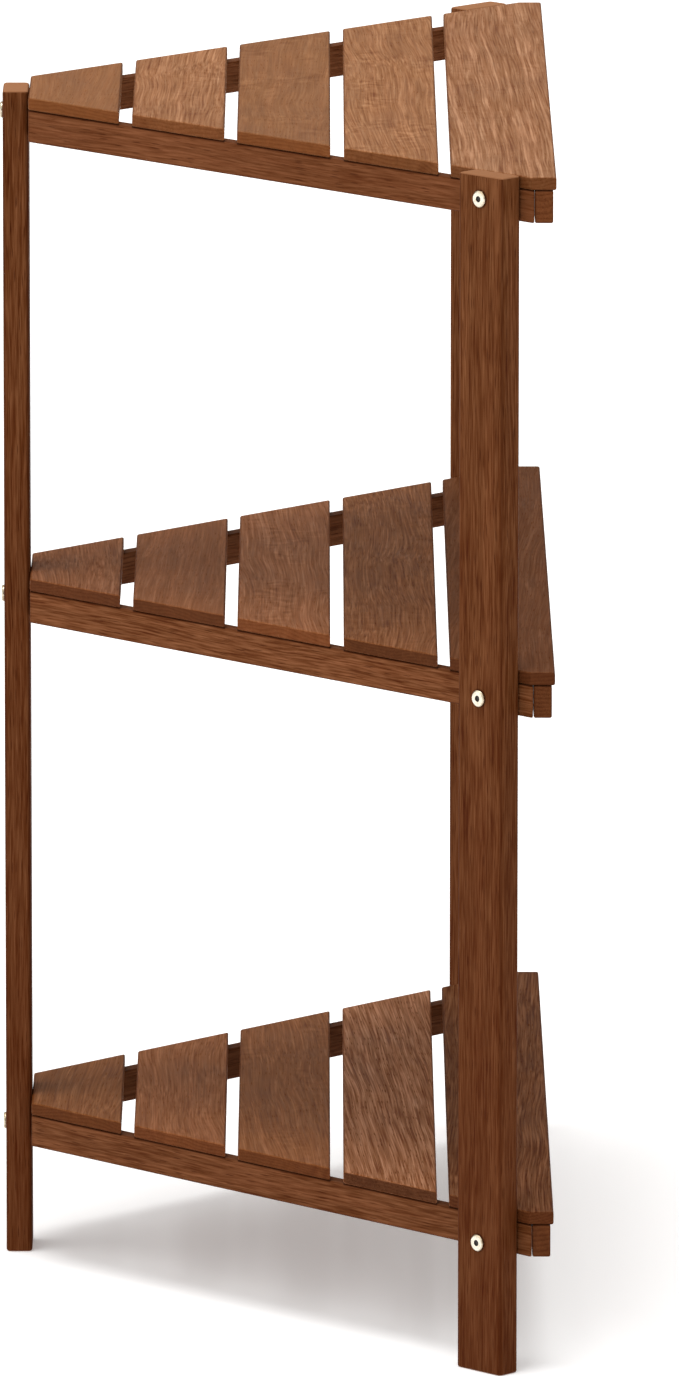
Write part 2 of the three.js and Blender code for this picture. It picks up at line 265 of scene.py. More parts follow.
    # Pores: short dark dashes along the grain, dots where it is cut across.
    near, which = g.cells(g.scaled(Q, (0.055, 0.85, 0.85), tuple(s * 0.09 for s in shift)))
    pore = g.mul(g.span(near, 0.14, 0.36, 1.0, 0.0), g.span(g.split(which)[0], 0.45, 0.80))
    near2, which2 = g.cells(g.scaled(Q, (0.14, 2.1, 2.1), tuple(s * 0.15 for s in shift)))
    fine = g.mul(g.span(near2, 0.12, 0.36, 1.0, 0.0), g.span(g.split(which2)[1], 0.2, 0.9))

    # Cut across the grain the wood drinks more of the stain, and its rings show.
    grain = back.to_3x3().row[0]
    turned_to = g.node("ShaderNodeVectorMath", {0: coords.outputs["Normal"]}, operation="DOT_PRODUCT")
    turned_to.inputs[1].default_value = tuple(grain)
    across = g.span(g.m("ABSOLUTE", turned_to.outputs["Value"]), 0.50, 0.66)
    ring_strength = g.span(across, 0.0, 1.0, ring_flat, ring_end, smooth=False)

    # Distance to the nearest edge: the second smallest of the distances to the board's planes.
    d1 = g.sub(half[0] / MM, g.m("ABSOLUTE", y))
    d2 = g.sub(half[1] / MM, g.m("ABSOLUTE", z))
    d3 = None
    for how, a, b, c in ends:
        if how == "pair":
            d = g.sub(c / MM, g.add(g.mul(g.m("ABSOLUTE", x), a), g.mul(y, b)))
        else:
            d = g.sub(c / MM, g.m("ABSOLUTE", g.add(g.mul(x, a), g.mul(y, b))))
        d3 = d if d3 is None else g.m("MINIMUM", d3, d)
    lo, hi = g.m("MINIMUM", d1, d2), g.m("MAXIMUM", d1, d2)
    edge = g.m("MAXIMUM", lo, g.m("MINIMUM", hi, d3))
    rub = g.noise(g.scaled(P, (0.030, 0.22, 0.22), tuple(s * 0.03 for s in shift)), 3.0, 0.65)
    # Lighter rubbed edges: wear, and in part a painted highlight where the rounded edges catch the light.
    wear_and_highlight = g.mul(g.span(edge, 0.15, 1.3, 1.0, 0.0), g.span(rub, 0.50, 0.68))
    # Painted shade: a thin darkening along every edge.
    rim_shade = g.span(edge, 0.2, 1.8, 1.0, 0.0)
    # Painted shade on the rounded long edges, weaker where a rail's top lies open between slats.
    bend, dark = f["round"]
    outline = g.mul(g.span(hi, bend * 0.30, bend * 0.85, 1.0, 0.0), g.sub(1.0, across), dark)
    # covered is 1 where slats lie over a rail's top and 0 in the gaps between them; it sets where the painted shade on
    # the rail falls.
    covered = 1.0
    if open_at:
        wy0 = g.split(coords.outputs["Object"])[1]
        for low_y, high_y in open_at:
            covered = g.sub(covered, g.mul(g.span(wy0, low_y - 0.4 * MM, low_y + 0.4 * MM), g.span(wy0, high_y - 0.4 * MM, high_y + 0.4 * MM, 1.0, 0.0)))
        outline = g.mul(outline, g.span(covered, 0.0, 1.0, 0.25, 1.0))

    # All of it in one value from dark to light, about 0.5.
    k = figure
    calm = g.span(across, 0.0, 1.0, 1.0, 0.30, smooth=False)
    v = g.add(
        g.mul(g.sub(fleck, 0.5), calm, 1.5 * fs * k),
        0.5,
        g.mul(glint, calm, 0.42 * fs * k),
        -0.085 * fs * k,
        g.mul(g.sub(fibre, 0.5), calm, f["fibre"][2] * (0.15 + 0.85 * k)),
        g.mul(vein, calm, vs * veins),
        -0.25 * vs * veins,
        g.mul(g.sub(streak, 0.5), 2.0 * f["streak"][2] * streaks),
        g.mul(g.sub(cloud, 0.5), 2.0 * f["cloud"] * patch),
        g.mul(ripple, f["curl"] * curl * 0.30),
        g.mul(g.sub(0.42, ring), ring_strength),
        g.mul(fine, -0.14 * f["pores"] * pores),
    )
    v = g.m("ADD", v, 0.0, clamp=True)
    t = tuple(c * tone for c in f["tone"])
    t = (t[0] * (1 + 0.4 * warm), t[1] * (1 - 0.4 * warm), t[2] * (1 - 0.8 * warm) * (1 - gold))
    d1, d2 = f["shades"]
    green, blue = f["pale"]
    tones = [(t[0] * s, t[1] * max(0.2, 1 + green * (s - 1)), t[2] * max(0.1, 1 + blue * (s - 1))) for s in (d1, d2, 1.0, 1.25, 1.60)]
    base = g.ramp(v, ((0.04, tones[0]), (0.30, tones[1]), (0.50, tones[2]), (0.70, tones[3]), (0.97, tones[4])))
    red = g.mix(g.span(streak, 0.35, 0.68, 0.0, 1.0), (0.99, 1.01, 1.02), (1.01, 0.99, 0.98), "MIX")
    base = g.mix(1.0, base, red, "MULTIPLY")
    base = g.mix(g.mul(pore, 0.55 * f["pores"] * pores), base, shade(tones[0], 0.60))
    base = g.mix(g.mul(across, 1.0), base, tuple(c * end_tone for c in f["cut"]), "MULTIPLY") if end_tone <= 1.0 else g.mix(across, base, tuple(min(1.0, c * end_tone) for c in (t[0], t[1] * 1.35, t[2] * 1.9)))
    # Painted shade along the edges, then deeper on the rounded long edges.
    base = g.mix(g.mul(rim_shade, 0.28), base, shade(tones[0], 0.8))
    base = g.mix(outline, base, shade(tones[0], 0.7))
    # Lighter edges: rubbed wear, partly a painted highlight.
    base = g.mix(g.mul(wear_and_highlight, 0.36), base, shade(tones[4], 0.85))
    # Painted shade where the slats lie on the rails: the slats' undersides and lowest millimetre, and the rails' tops
    # and top millimetre where slats cover them, are darkened.
    deep = half[1] / MM
    if kind == "slat":
        base = g.mix(g.span(z, -deep + 1.15, -deep + 0.35, 0.0, 0.62), base, shade(tones[0], 0.40))
    elif kind == "rail":
        base = g.mix(g.mul(g.span(z, deep - 1.15, deep - 0.4, 0.0, 0.58), covered), base, shade(tones[0], 0.42))
    # Painted shade: the board grows darker towards its low X end, the foot of a leg by the floor.
    if fade:
        reach = ends[0][3] / MM
        base = g.mix(g.span(x, reach, -reach, 0.0, fade), base, shade(tones[0], 1.1))
    # Painted shade: a dark ring on the wood just round each bolt head.
    for at in bolts:
        off = g.add(x, -at / MM)
        ring = g.span(g.m("SQRT", g.add(g.mul(off, off), g.mul(y, y))), 5.9, 7.4, 1.0, 0.0)
        base = g.mix(g.mul(g.mul(ring, g.span(z, 0.0, 1.0)), 0.55), base, shade(tones[0], 0.6))
    g.put(g.bsdf.inputs["Base Color"], base)

    rough = g.add(
        g.mul(g.sub(fleck, 0.5), 0.20),
        0.52,
        g.mul(g.sub(cloud, 0.5), 0.30),
        g.mul(pore, 0.22),
        g.mul(across, 0.16),
        g.mul(wear_and_highlight, -0.08),
        g.mul(glint, -0.05),
    )
    g.put(g.bsdf.inputs["Roughness"], g.span(rough, 0.30, 0.85, 0.30, 0.85, smooth=False))

    height = g.add(
        g.mul(fleck, 0.55),
        g.mul(fibre, 0.50),
        g.mul(ripple, 0.30),
        g.mul(ring, -0.22),
        g.mul(pore, -1.1 * f["pores"]),
        g.mul(fine, -0.35 * f["pores"]),
        g.mul(rub, 0.25),
    )
    bump = g.node("ShaderNodeBump", {"Height": height})
    bump.inputs["Strength"].default_value = 0.5
    bump.inputs["Distance"].default_value = 0.00012
    g.put(g.bsdf.inputs["Normal"], bump.outputs[0])
    g.put(g.bsdf.inputs["Specular IOR Level"], g.span(across, 0.0, 1.0, f["gloss"] * gloss, 0.05, smooth=False))
    return g.mat


def metal(name, colour, dull, rough, scale, mark, pit, rim_shade=None):
    """Plated steel or cast zinc: turning marks about the local Z, fine scratches, and a duller film in patches.

    pit: radius, and lowest and highest Z, in mm, of the recess that is darkened as painted shade. rim: radii in mm
    between which a brown painted shade starts, patchy with the film.
    """
    g = Tree(name)
    P = g.scaled(g.node("ShaderNodeTexCoord").outputs["Object"], (1000, 1000, 1000))
    x, y, z = g.split(P)
    radius = g.m("SQRT", g.add(g.mul(x, x), g.mul(y, y)))
    turned = g.noise(g.xyz(g.mul(radius, mark), g.mul(z, mark * 0.6), 0.0), 3.0, 0.7)
    film = g.noise(g.scaled(P, (scale, scale, scale)), 3.0, 0.6)
    spots = g.span(g.noise(g.scaled(P, (scale * 4, scale * 4, scale * 4), (3.1, 7.7, 1.9)), 2.0, 0.7), 0.60, 0.74)
    scratch = g.span(g.noise(g.scaled(P, (scale * 0.7, scale * 9, scale * 9), (9.0, 2.0, 5.0)), 2.0, 0.6), 0.62, 0.72)
    c = g.mix(g.span(film, 0.38, 0.70, 0.0, 0.75), colour, dull)
    c = g.mix(g.mul(g.sub(turned, 0.5), 0.5), c, shade(dull, 0.55))
    c = g.mix(g.mul(spots, 0.35), c, shade(dull, 0.4))
    # Painted shade: a brown ring round the head's edge, patchy with the film.
    if rim_shade:
        c = g.mix(g.mul(g.span(radius, rim_shade[0], rim_shade[1]), g.span(film, 0.30, 0.62, 0.35, 0.85)), c, (0.34, 0.25, 0.15))
    # Painted shade: the recess is darkened nearly to black and made less metallic.
    recess_shade = g.mul(g.span(radius, pit[0] - 0.12, pit[0] + 0.12, 1.0, 0.0), g.span(z, pit[1] - 0.1, pit[1] + 0.1), g.span(z, pit[2] - 0.12, pit[2] + 0.12, 1.0, 0.0))
    c = g.mix(recess_shade, c, (0.018, 0.014, 0.011))
    g.put(g.bsdf.inputs["Base Color"], c)
    g.put(g.bsdf.inputs["Metallic"], g.sub(1.0, g.mul(recess_shade, 0.8)))
    r = g.add(g.mul(g.sub(film, 0.5), 0.22), rough, g.mul(g.sub(turned, 0.5), 0.16), g.mul(spots, 0.2), g.mul(scratch, 0.12))
    g.put(g.bsdf.inputs["Roughness"], g.span(r, 0.12, 0.8, 0.12, 0.8, smooth=False))
    h = g.add(g.mul(turned, 0.6), g.mul(scratch, -0.5), g.mul(spots, -0.4), g.mul(film, 0.3))
    bump = g.node("ShaderNodeBump", {"Height": h})
    bump.inputs["Strength"].default_value = 0.35
    bump.inputs["Distance"].default_value = 0.00004
    g.put(g.bsdf.inputs["Normal"], bump.outputs[0])
    return g.mat


# ---------------------------------------------------------------- mesh helpers


def link(name, mesh, matrix=None):
    o = bpy.data.objects.new(name, mesh)
    bpy.context.scene.collection.objects.link(o)
    if matrix is not None:
        o.matrix_world = matrix
    return o


def applied(o):
    """Applies o's modifiers to its mesh."""
    dg = bpy.context.evaluated_depsgraph_get()
    mesh = bpy.data.meshes.new_from_object(o.evaluated_get(dg), preserve_all_data_layers=True, depsgraph=dg)
    o.modifiers.clear()
    old = o.data
    o.data = mesh
    bpy.data.meshes.remove(old)
    return o


def mesh_of(name, bm):
    me = bpy.data.meshes.new(name)
    bm.to_mesh(me)
    bm.free()
    return me


def turned_mesh(name, profile, segments, closed=False):
    """A turned solid about Z from [radius, z] points. Open profiles start and end on the axis."""
    bm = bmesh.new()
    rings = []
    for r, z in profile:
        if r < 1e-9:
            rings.append([bm.verts.new((0, 0, z))])
        else:
            rings.append([bm.verts.new((r * math.cos(2 * math.pi * i / segments), r * math.sin(2 * math.pi * i / segments), z)) for i in range(segments)])
    pairs = list(zip(rings, rings[1:] + ([rings[0]] if closed else [])))
    if not closed:
        pairs = pairs[: len(rings) - 1]
    for a, b in pairs:
        for i in range(segments):
            j = (i + 1) % segments
            if len(a) == 1 and len(b) == 1:
                continue
            if len(a) == 1:
                bm.faces.new((a[0], b[j], b[i]))
            elif len(b) == 1:
                bm.faces.new((a[i], a[j], b[0]))
            else:
                bm.faces.new((a[i], a[j], b[j], b[i]))
    bmesh.ops.recalc_face_normals(bm, faces=bm.faces)
    return mesh_of(name, bm)


def merged(name, meshes):
    """One mesh of several (mesh, matrix) pairs."""
    bm = bmesh.new()
    for me, matrix in meshes:
        n = len(bm.verts)
        bm.from_mesh(me)
        bm.verts.ensure_lookup_table()
        bmesh.ops.transform(bm, matrix=matrix, verts=bm.verts[n:])
    return mesh_of(name, bm)


def carve(o, cutters):
    """Takes the (mesh, matrix) pairs out of o. The matrices are in o's own frame."""
    if not cutters:
        return
    me = merged("cutter", cutters)
    c = link("cutter", me, o.matrix_world.copy())
    mod = o.modifiers.new("cut", "BOOLEAN")
    mod.operation, mod.solver, mod.object = "DIFFERENCE", "EXACT", c
    bpy.context.view_layer.update()
    applied(o)
    bpy.data.objects.remove(c)
    bpy.data.meshes.remove(me)


def smooth(o, angle=34):
    """Smooth shading with crisp creases and flats that stay flat."""
    me = o.data
    me.polygons.foreach_set("use_smooth", [True] * len(me.polygons))
    me.set_sharp_from_angle(angle=math.radians(angle))
    mod = o.modifiers.new("normals", "WEIGHTED_NORMAL")
    mod.keep_sharp, mod.weight, mod.mode = True, 70, "FACE_AREA"
    bpy.context.view_layer.update()
    applied(o)


def basis(x, y, z, at):
    m = Matrix.Identity(4)
    for i, v in enumerate((x, y, z, at)):
        for j in range(3):
            m[j][i] = v[j]
    return m


def toward(axis, at, spin=0.0):
    """A matrix that puts Z along axis, with its origin at `at`, turned by spin about Z."""
    return Matrix.Translation(at) @ Vector(axis).to_track_quat("Z", "Y").to_matrix().to_4x4() @ Matrix.Rotation(spin, 4, "Z")


# ---------------------------------------------------------------- boards


def board(name, outline, low, high, matrix, radius, ends_radius=None, corner=0.0, cutters=(), seed=0, cells=22 * MM, upright=False):
    """A board: its outline in the local XY plane, from low to high along local Z, with rounded edges.

    upright: the outline lies in local YZ and the board runs from low to high along local X.
    cutters are (mesh, matrix) pairs in the board's own frame.
    """
    bm = bmesh.new()
    turn = (lambda u, v, w: (w, u, v)) if upright else (lambda u, v, w: (u, v, w))
    bottom = [bm.verts.new(turn(u, v, low)) for u, v in outline]
    top = [bm.verts.new(turn(u, v, high)) for u, v in outline]
    n = len(outline)
    bm.faces.new(bottom[::-1])
    bm.faces.new(top)
    for i in range(n):
        j = (i + 1) % n
        bm.faces.new((bottom[i], bottom[j], top[j], top[i]))
    bmesh.ops.recalc_face_normals(bm, faces=bm.faces)
    weight = bm.edges.layers.float.new("bevel_weight_edge")
    axis = 0 if upright else 2
    for e in bm.edges:
        a, b = e.verts
        vertical = abs(a.co[axis] - b.co[axis]) > 1e-6
        if upright:
            e[weight] = 0.0 if vertical else 1.0
        else:
            e[weight] = corner / radius if vertical else 1.0
    o = link(name, mesh_of(name, bm), matrix)
    mod = o.modifiers.new("round", "BEVEL")
    mod.limit_method, mod.width, mod.segments = "WEIGHT", radius, 5
    mod.use_clamp_overlap = False
    mod.miter_outer = "MITER_SHARP"
    bpy.context.view_layer.update()
    applied(o)
    carve(o, cutters)

    # Cut into cells, then let the surface breathe by less than a tenth of a millimetre, always inwards.
    bm = bmesh.new()
    bm.from_mesh(o.data)
    bm.normal_update()
    los = [min(v.co[k] for v in bm.verts) for k in range(3)]
    his = [max(v.co[k] for v in bm.verts) for k in range(3)]
    rnd = random.Random(seed + 5)
    for k in (0, 1):
        step = cells
        count = int((his[k] - los[k]) / step)
        for i in range(1, count + 1):
            at = los[k] + (his[k] - los[k]) * i / (count + 1)
            point, direction = [0, 0, 0], [0, 0, 0]
            point[k], direction[k] = at, 1
            bmesh.ops.bisect_plane(bm, geom=bm.verts[:] + bm.edges[:] + bm.faces[:], dist=1e-7, plane_co=point, plane_no=direction)
    bm.normal_update()
    away = Vector([rnd.uniform(-50, 50) for _ in range(3)])
    for v in bm.verts:
        p = v.co
        slow = 0.5 + 0.5 * noise.noise(Vector((p.x * 14, p.y * 40, p.z * 40)) + away)
        quick = 0.5 + 0.5 * noise.noise(Vector((p.x * 75, p.y * 180, p.z * 180)) - away)
        v.co = p - v.normal * (0.055 * MM * max(0.0, min(1.0, slow)) + 0.025 * MM * max(0.0, min(1.0, quick)))
    bm.to_mesh(o.data)
    bm.free()
    smooth(o, 36)
    o.data.transform(matrix)
    o.matrix_world = Matrix.Identity(4)
    return o


PIECES = []


def finish_piece(o, material, slot, node):
    o.data.materials.clear()
    o.data.materials.append(material)
    PIECES.append((o, slot, node))


def screw_hole():
    """The countersunk hole of a wood screw that stands head down on z = 0."""
    return turned_mesh(
        "screw_hole",
        [
            (0, -1 * MM),
            (SCREW_HEAD / 2 + 0.25 * MM + 0.9 * MM, -1 * MM),
            (SCREW_HEAD / 2 + 0.25 * MM, 0.12 * MM),
            (SCREW_HEAD / 2 + 0.25 * MM, 0.65 * MM),
            (SCREW_BORE / 2, SCREW_CONE + 0.7 * MM),
            (SCREW_BORE / 2, SCREW_L + 0.3 * MM),
            (0, SCREW_L + 0.3 * MM),
        ],
        32,
    )


def rounded_rectangle(w, h, r, steps=7):
    points = []
    for q, (cx, cy) in enumerate(((w / 2 - r, h / 2 - r), (-w / 2 + r, h / 2 - r), (-w / 2 + r, -h / 2 + r), (w / 2 - r, -h / 2 + r))):
        for i in range(steps + 1):
            a = (q + i / steps) * math.pi / 2
            points.append((cx + r * math.cos(a), cy + r * math.sin(a)))
    return points


def bolt_place(where, height):
    """Where a bolt enters the outer face of its rail or corner block, and the direction out of the wood."""
    if where == "corner":
        return Vector((0, BACK - Y0, height)), Vector((0, 1, 0))
    side = -1 if where == "left" else 1
    along = Vector((-side * D, D, 0))
    return Vector((side * APEX, -Y0, 0)) + along * LEG_AT + Vector((0, 0, height)), Vector((side * D, D, 0))


WHERES = ("left", "right", "corner")

# Legs: local X runs up the leg, Y across it and Z outwards.
LEG_LOOK = {
    "left": dict(tone=1.0, warm=0.02, end_tone=2.5),
    # Painted light: the right leg is made lighter in tone to lift its face that stands in shade.
    "right": dict(tone=1.22, warm=0.0, end_tone=2.2),
    "corner": dict(tone=1.07, warm=0.03, end_tone=2.5),
}
for i, where in enumerate(WHERES):
    at, out = bolt_place(where, 0)
    across = Vector((out.y, -out.x, 0))
    origin = at + out * (GAP + LEG_T / 2) + Vector((0, 0, HEIGHT / 2))
    m = basis((0, 0, 1), across, out, origin)
    cutters = []
    for _, _, height in TIERS:
        c = turned_mesh(
            "hole",
            [(0, -LEG_T / 2 - MM), (BOLT_BORE / 2 + 1.4 * MM, -LEG_T / 2 - MM), (BOLT_BORE / 2, -LEG_T / 2 + 0.4 * MM), (BOLT_BORE / 2, LEG_T / 2 - 0.4 * MM), (BOLT_BORE / 2 + 1.4 * MM, LEG_T / 2 + MM), (0, LEG_T / 2 + MM)],
            40,
        )
        cutters.append((c, Matrix.Translation((height - HEIGHT / 2, 0, 0))))
    o = board(f"leg_{where}_wood", rounded_rectangle(LEG_W, LEG_T, LEG_R + 0.3 * MM), -HEIGHT / 2, HEIGHT / 2, m, LEG_C, cutters=cutters, seed=11 + i, cells=18 * MM, upright=True)
    # Painted shade towards each leg's foot; less of it on the right leg, which is also lifted in tone as painted light.
    mat = wood(f"wood_leg_{where}", "leg", m, (LEG_W / 2, LEG_T / 2), [("pair", 1.0, 0.0, HEIGHT / 2)], 11 + i, fade=0.22 if where == "right" else 0.36, bolts=[height - HEIGHT / 2 for _, _, height in TIERS], **LEG_LOOK[where])
    finish_piece(o, mat, "leg_wood", f"leg_{where}")

# Tiers.
SLAT_LOOK = {
    "lower": [
        dict(tone=0.72, warm=0.20, gold=0.18, patch=1.5, figure=0.7, gloss=0.5, end_tone=0.48),
        dict(tone=0.865, warm=0.20, gold=0.08, figure=0.75, gloss=0.5, end_tone=0.49),
        dict(tone=0.78, warm=0.20, gold=0.15, patch=1.2, curl=3.0, figure=0.65, gloss=0.5, end_tone=0.47),
        dict(tone=1.02, warm=0.07, figure=1.5, stretch=1.0, streaks=1.6, veins=1.2, patch=1.5, curl=1.0, pores=4.0, skew=-0.065, sway=0.45, gloss=0.5, end_tone=0.28),
        # Painted shade: this front slat is darker in tone for the shade it lies in.
        dict(tone=0.475, warm=0.25, gold=0.10, figure=1.45, gloss=0.3, end_tone=0.60),
    ],
    "middle": [
        dict(tone=0.78, warm=0.19, gold=0.05, figure=0.85, patch=0.6, gloss=0.5, end_tone=0.41),
        dict(tone=0.78, warm=0.19, gold=0.06, figure=0.40, gloss=0.5, end_tone=0.39),
        dict(tone=0.93, warm=0.15, gold=0.05, curl=4.2, figure=0.72, gloss=0.55, end_tone=0.57),
        dict(tone=0.73, warm=0.18, gold=0.12, patch=1.5, curl=2.4, figure=0.95, gloss=0.5, end_tone=0.39),
        # Painted shade: this front slat is darker in tone for the shade it lies in.
        dict(tone=0.53, warm=0.22, gold=0.06, figure=0.6, gloss=0.35, end_tone=0.54),
    ],
    "upper": [
        dict(tone=0.825, warm=0.12, gold=0.22, figure=0.22, patch=0.6, veins=0.4, end_tone=0.66),
        dict(tone=1.07, warm=0.03, gold=0.10, curl=2.4, figure=0.85, patch=1.4, end_tone=0.54),
        dict(tone=0.80, warm=0.10, gold=0.20, curl=3.6, figure=0.30, veins=0.5, end_tone=0.70),
        dict(tone=1.03, warm=0.04, gold=0.14, curl=4.6, figure=0.72, skew=-0.035, end_tone=0.48),
        dict(tone=1.075, warm=-0.01, gold=0.05, figure=0.9, stretch=1.0, curl=2.0, streaks=1.1, veins=2.4, skew=-0.025, sway=0.6, end_tone=0.48),
    ],
}
SIDE_LOOK = {
    ("left", "upper"): dict(tone=0.99, warm=0.02, figure=0.75, end_tone=0.75),
    ("left", "middle"): dict(tone=1.07, warm=-0.02, figure=1.2, end_tone=0.75),
    ("left", "lower"): dict(tone=0.93, warm=-0.01, end_tone=0.75),
    ("right", "upper"): dict(tone=1.0, warm=0.02, end_tone=0.75),
    ("right", "middle"): dict(tone=0.80, warm=0.02, end_tone=0.75),
    ("right", "lower"): dict(tone=0.80, warm=0.02, end_tone=0.75),
}
FRONT_LOOK = {"upper": 0.92, "middle": 0.74, "lower": 0.74}
seed = 40
for tier, top, bolts in TIERS:
    under, low = top - SLAT_T, top - SLAT_T - RAIL_H
    front_screws = [(s * SCREW_FRONT_X, FRONT_SETBACK + RAIL_T / 2 - Y0) for s in (-1, 1)]
    block_screws = [(s * SCREW_BLOCK_X, SCREW_BLOCK_Y - Y0) for s in (-1, 1)]

    # Slats, numbered from the corner to the front. Local origin in the middle of the board.
    for i, (back, front) in enumerate(SLATS):
        seed += 1
        last = i == len(SLATS) - 1
        middle = (back + front) / 2
        if last:
            outline = [(face(-1, CLIP), front), (face(1, CLIP), front), (face(1, CLIP), CLIP), (face(1, back), back), (face(-1, back), back), (face(-1, CLIP), CLIP)]
        else:
            outline = [(face(-1, front), front), (face(1, front), front), (face(1, back), back), (face(-1, back), back)]
        outline = [(x, y - middle) for x, y in outline]
        m = Matrix.Translation((0, middle - Y0, under + SLAT_T / 2))
        screws = front_screws if last else block_screws if i == 0 else []
        cutters = [(screw_hole(), Matrix.Translation((x, y - (middle - Y0), low - under - SLAT_T / 2))) for x, y in screws]
        o = board(f"slat_{tier}_{i + 1}_wood", outline, -SLAT_T / 2, SLAT_T / 2, m, SLAT_R, corner=0.55 * MM, cutters=cutters, seed=seed)
        # the mitred ends: |x| + y = APEX - middle
        ends = [("pair", D, D, (APEX - middle) * D)]
        if last:
            ends.append(("pair", 1.0, 0.0, face(1, CLIP)))
        look = dict(SLAT_LOOK[tier][i])
        mat = wood(f"wood_slat_{tier}_{i + 1}", "slat", m, ((back - front) / 2, SLAT_T / 2), ends, seed, **look)
        finish_piece(o, mat, "slat_wood_upper" if tier == "upper" else "slat_wood", f"slat_{tier}_{i + 1}")

    # Side rails. Local X runs along the rail towards the corner, Z up.
    rail_front = FRONT_SETBACK + RAIL_T + RAIL_GAP
    for side in (-1, 1):
        seed += 1
        where = "left" if side < 0 else "right"
        along = Vector((-side * D, D, 0))
        yy = Vector((0, 0, 1)).cross(along)
        outward = Vector((side * D, D, 0))
        centre = Vector((face(side, (rail_front + BACK) / 2, RAIL_T / 2), (rail_front + BACK) / 2 - Y0, low + RAIL_H / 2))
        m = basis(along, yy, (0, 0, 1), centre)
        inv = m.inverted()
        corners = [(face(side, rail_front), rail_front), (face(side, rail_front, RAIL_T), rail_front), (face(side, BACK, RAIL_T), BACK), (face(side, BACK), BACK)]
        outline = [tuple((inv @ Vector((x, y - Y0, low)))[:2]) for x, y in corners]
        area = sum(a[0] * b[1] - b[0] * a[1] for a, b in zip(outline, outline[1:] + outline[:1]))
        if area < 0:
            outline.reverse()
        at, out = bolt_place(where, bolts)
        cutter = turned_mesh(
            "bore",
            [(0, -RAIL_T - 1 * MM), (INSERT_BORE / 2 + 1.3 * MM, -RAIL_T - 1 * MM), (INSERT_BORE / 2, -RAIL_T + 0.3 * MM), (INSERT_BORE / 2, -0.3 * MM), (INSERT_BORE / 2 + 1.3 * MM, 1 * MM), (0, 1 * MM)],
            44,
        )
        o = board(f"side_rail_{where}_{tier}_wood", outline, -RAIL_H / 2, RAIL_H / 2, m, RAIL_R, corner=0.6 * MM, cutters=[(cutter, inv @ toward(out, at))], seed=seed)
        # The ends are cut parallel to the slats.
        ends = [("skew", D, yy.y, (BACK - rail_front) / 2)]
        gaps = [(back - Y0, front - Y0) for (_, front), (back, _) in zip(SLATS, SLATS[1:])]
        mat = wood(f"wood_side_rail_{where}_{tier}", "rail", m, (RAIL_T / 2, RAIL_H / 2), ends, seed, open_at=gaps, **SIDE_LOOK[(where, tier)])
        finish_piece(o, mat, "rail_wood", f"side_rail_{where}_{tier}")

    # Front rail.
    seed += 1
    x = face(1, CLIP)
    m = Matrix.Translation((0, FRONT_SETBACK + RAIL_T / 2 - Y0, low + RAIL_H / 2))
    cutters = [(screw_hole(), Matrix.Translation((sx, 0, -RAIL_H / 2))) for sx, _ in front_screws]
    o = board(f"front_rail_{tier}_wood", [(-x, -RAIL_T / 2), (x, -RAIL_T / 2), (x, RAIL_T / 2), (-x, RAIL_T / 2)], -RAIL_H / 2, RAIL_H / 2, m, RAIL_R, corner=0.6 * MM, cutters=cutters, seed=seed)
    mat = wood(f"wood_front_rail_{tier}", "rail", m, (RAIL_T / 2, RAIL_H / 2), [("pair", 1.0, 0.0, x)], seed, tone=1.0, warm=0.02, end_tone=FRONT_LOOK[tier])
    finish_piece(o, mat, "rail_wood", f"front_rail_{tier}")

    # Corner block, between the back ends of the side rails. Its grain runs along X.
    seed += 1
    y1 = BACK - BLOCK_D
    inner = RAIL_T + GAP
    middle = BACK - BLOCK_D / 2
    m = Matrix.Translation((0, middle - Y0, low + RAIL_H / 2))
    outline = [(face(-1, y1, inner), y1 - middle), (face(1, y1, inner), y1 - middle), (face(1, BACK, inner), BACK - middle), (face(-1, BACK, inner), BACK - middle)]
    at, out = bolt_place("corner", bolts)
    bore = turned_mesh(
        "bore",
        [(0, -INSERT_IN - INSERT_L - 1 * MM), (INSERT_BORE / 2, -INSERT_IN - INSERT_L - 1 * MM), (INSERT_BORE / 2, -0.3 * MM), (INSERT_BORE / 2 + 1.3 * MM, 1 * MM), (0, 1 * MM)],
        44,
    )
    cutters = [(bore, m.inverted() @ toward(out, at))]
    cutters += [(screw_hole(), Matrix.Translation((sx, sy - (middle - Y0), -RAIL_H / 2))) for sx, sy in block_screws]
    o = board(f"corner_block_{tier}_wood", outline, -RAIL_H / 2, RAIL_H / 2, m, 1.0 * MM, corner=0.5 * MM, cutters=cutters, seed=seed)
    ends = [("pair", D, D, (APEX - middle) * D - inner)]
    mat = wood(f"wood_corner_block_{tier}", "rail", m, (BLOCK_D / 2, RAIL_H / 2), ends, seed, tone=0.95, warm=0.02, end_tone=0.75)
    finish_piece(o, mat, "rail_wood", f"corner_block_{tier}")


# ---------------------------------------------------------------- hardware


def spun(name, rings, segments, closed=False):
    """A solid about Z from (radius, z) rings, where a radius may be a function of the angle as a share of a turn."""
    bm = bmesh.new()
    made = []
    for r, z in rings:
        if not callable(r) and r < 1e-9:
            made.append([bm.verts.new((0, 0, z))])
            continue
        ring = []
        for i in range(segments):
            a = i / segments
            rr = r(a) if callable(r) else r
            ring.append(bm.verts.new((rr * math.cos(2 * math.pi * a), rr * math.sin(2 * math.pi * a), z)))
        made.append(ring)
    pairs = list(zip(made, made[1:]))
    if closed:
        pairs.append((made[-1], made[0]))
    for a, b in pairs:
        for i in range(segments):
            j = (i + 1) % segments
            if len(a) == 1:
                bm.faces.new((a[0], b[j], b[i]))
            elif len(b) == 1:
                bm.faces.new((a[i], a[j], b[0]))
            else:
                bm.faces.new((a[i], a[j], b[j], b[i]))
    bmesh.ops.recalc_face_normals(bm, faces=bm.faces)
    return mesh_of(name, bm)


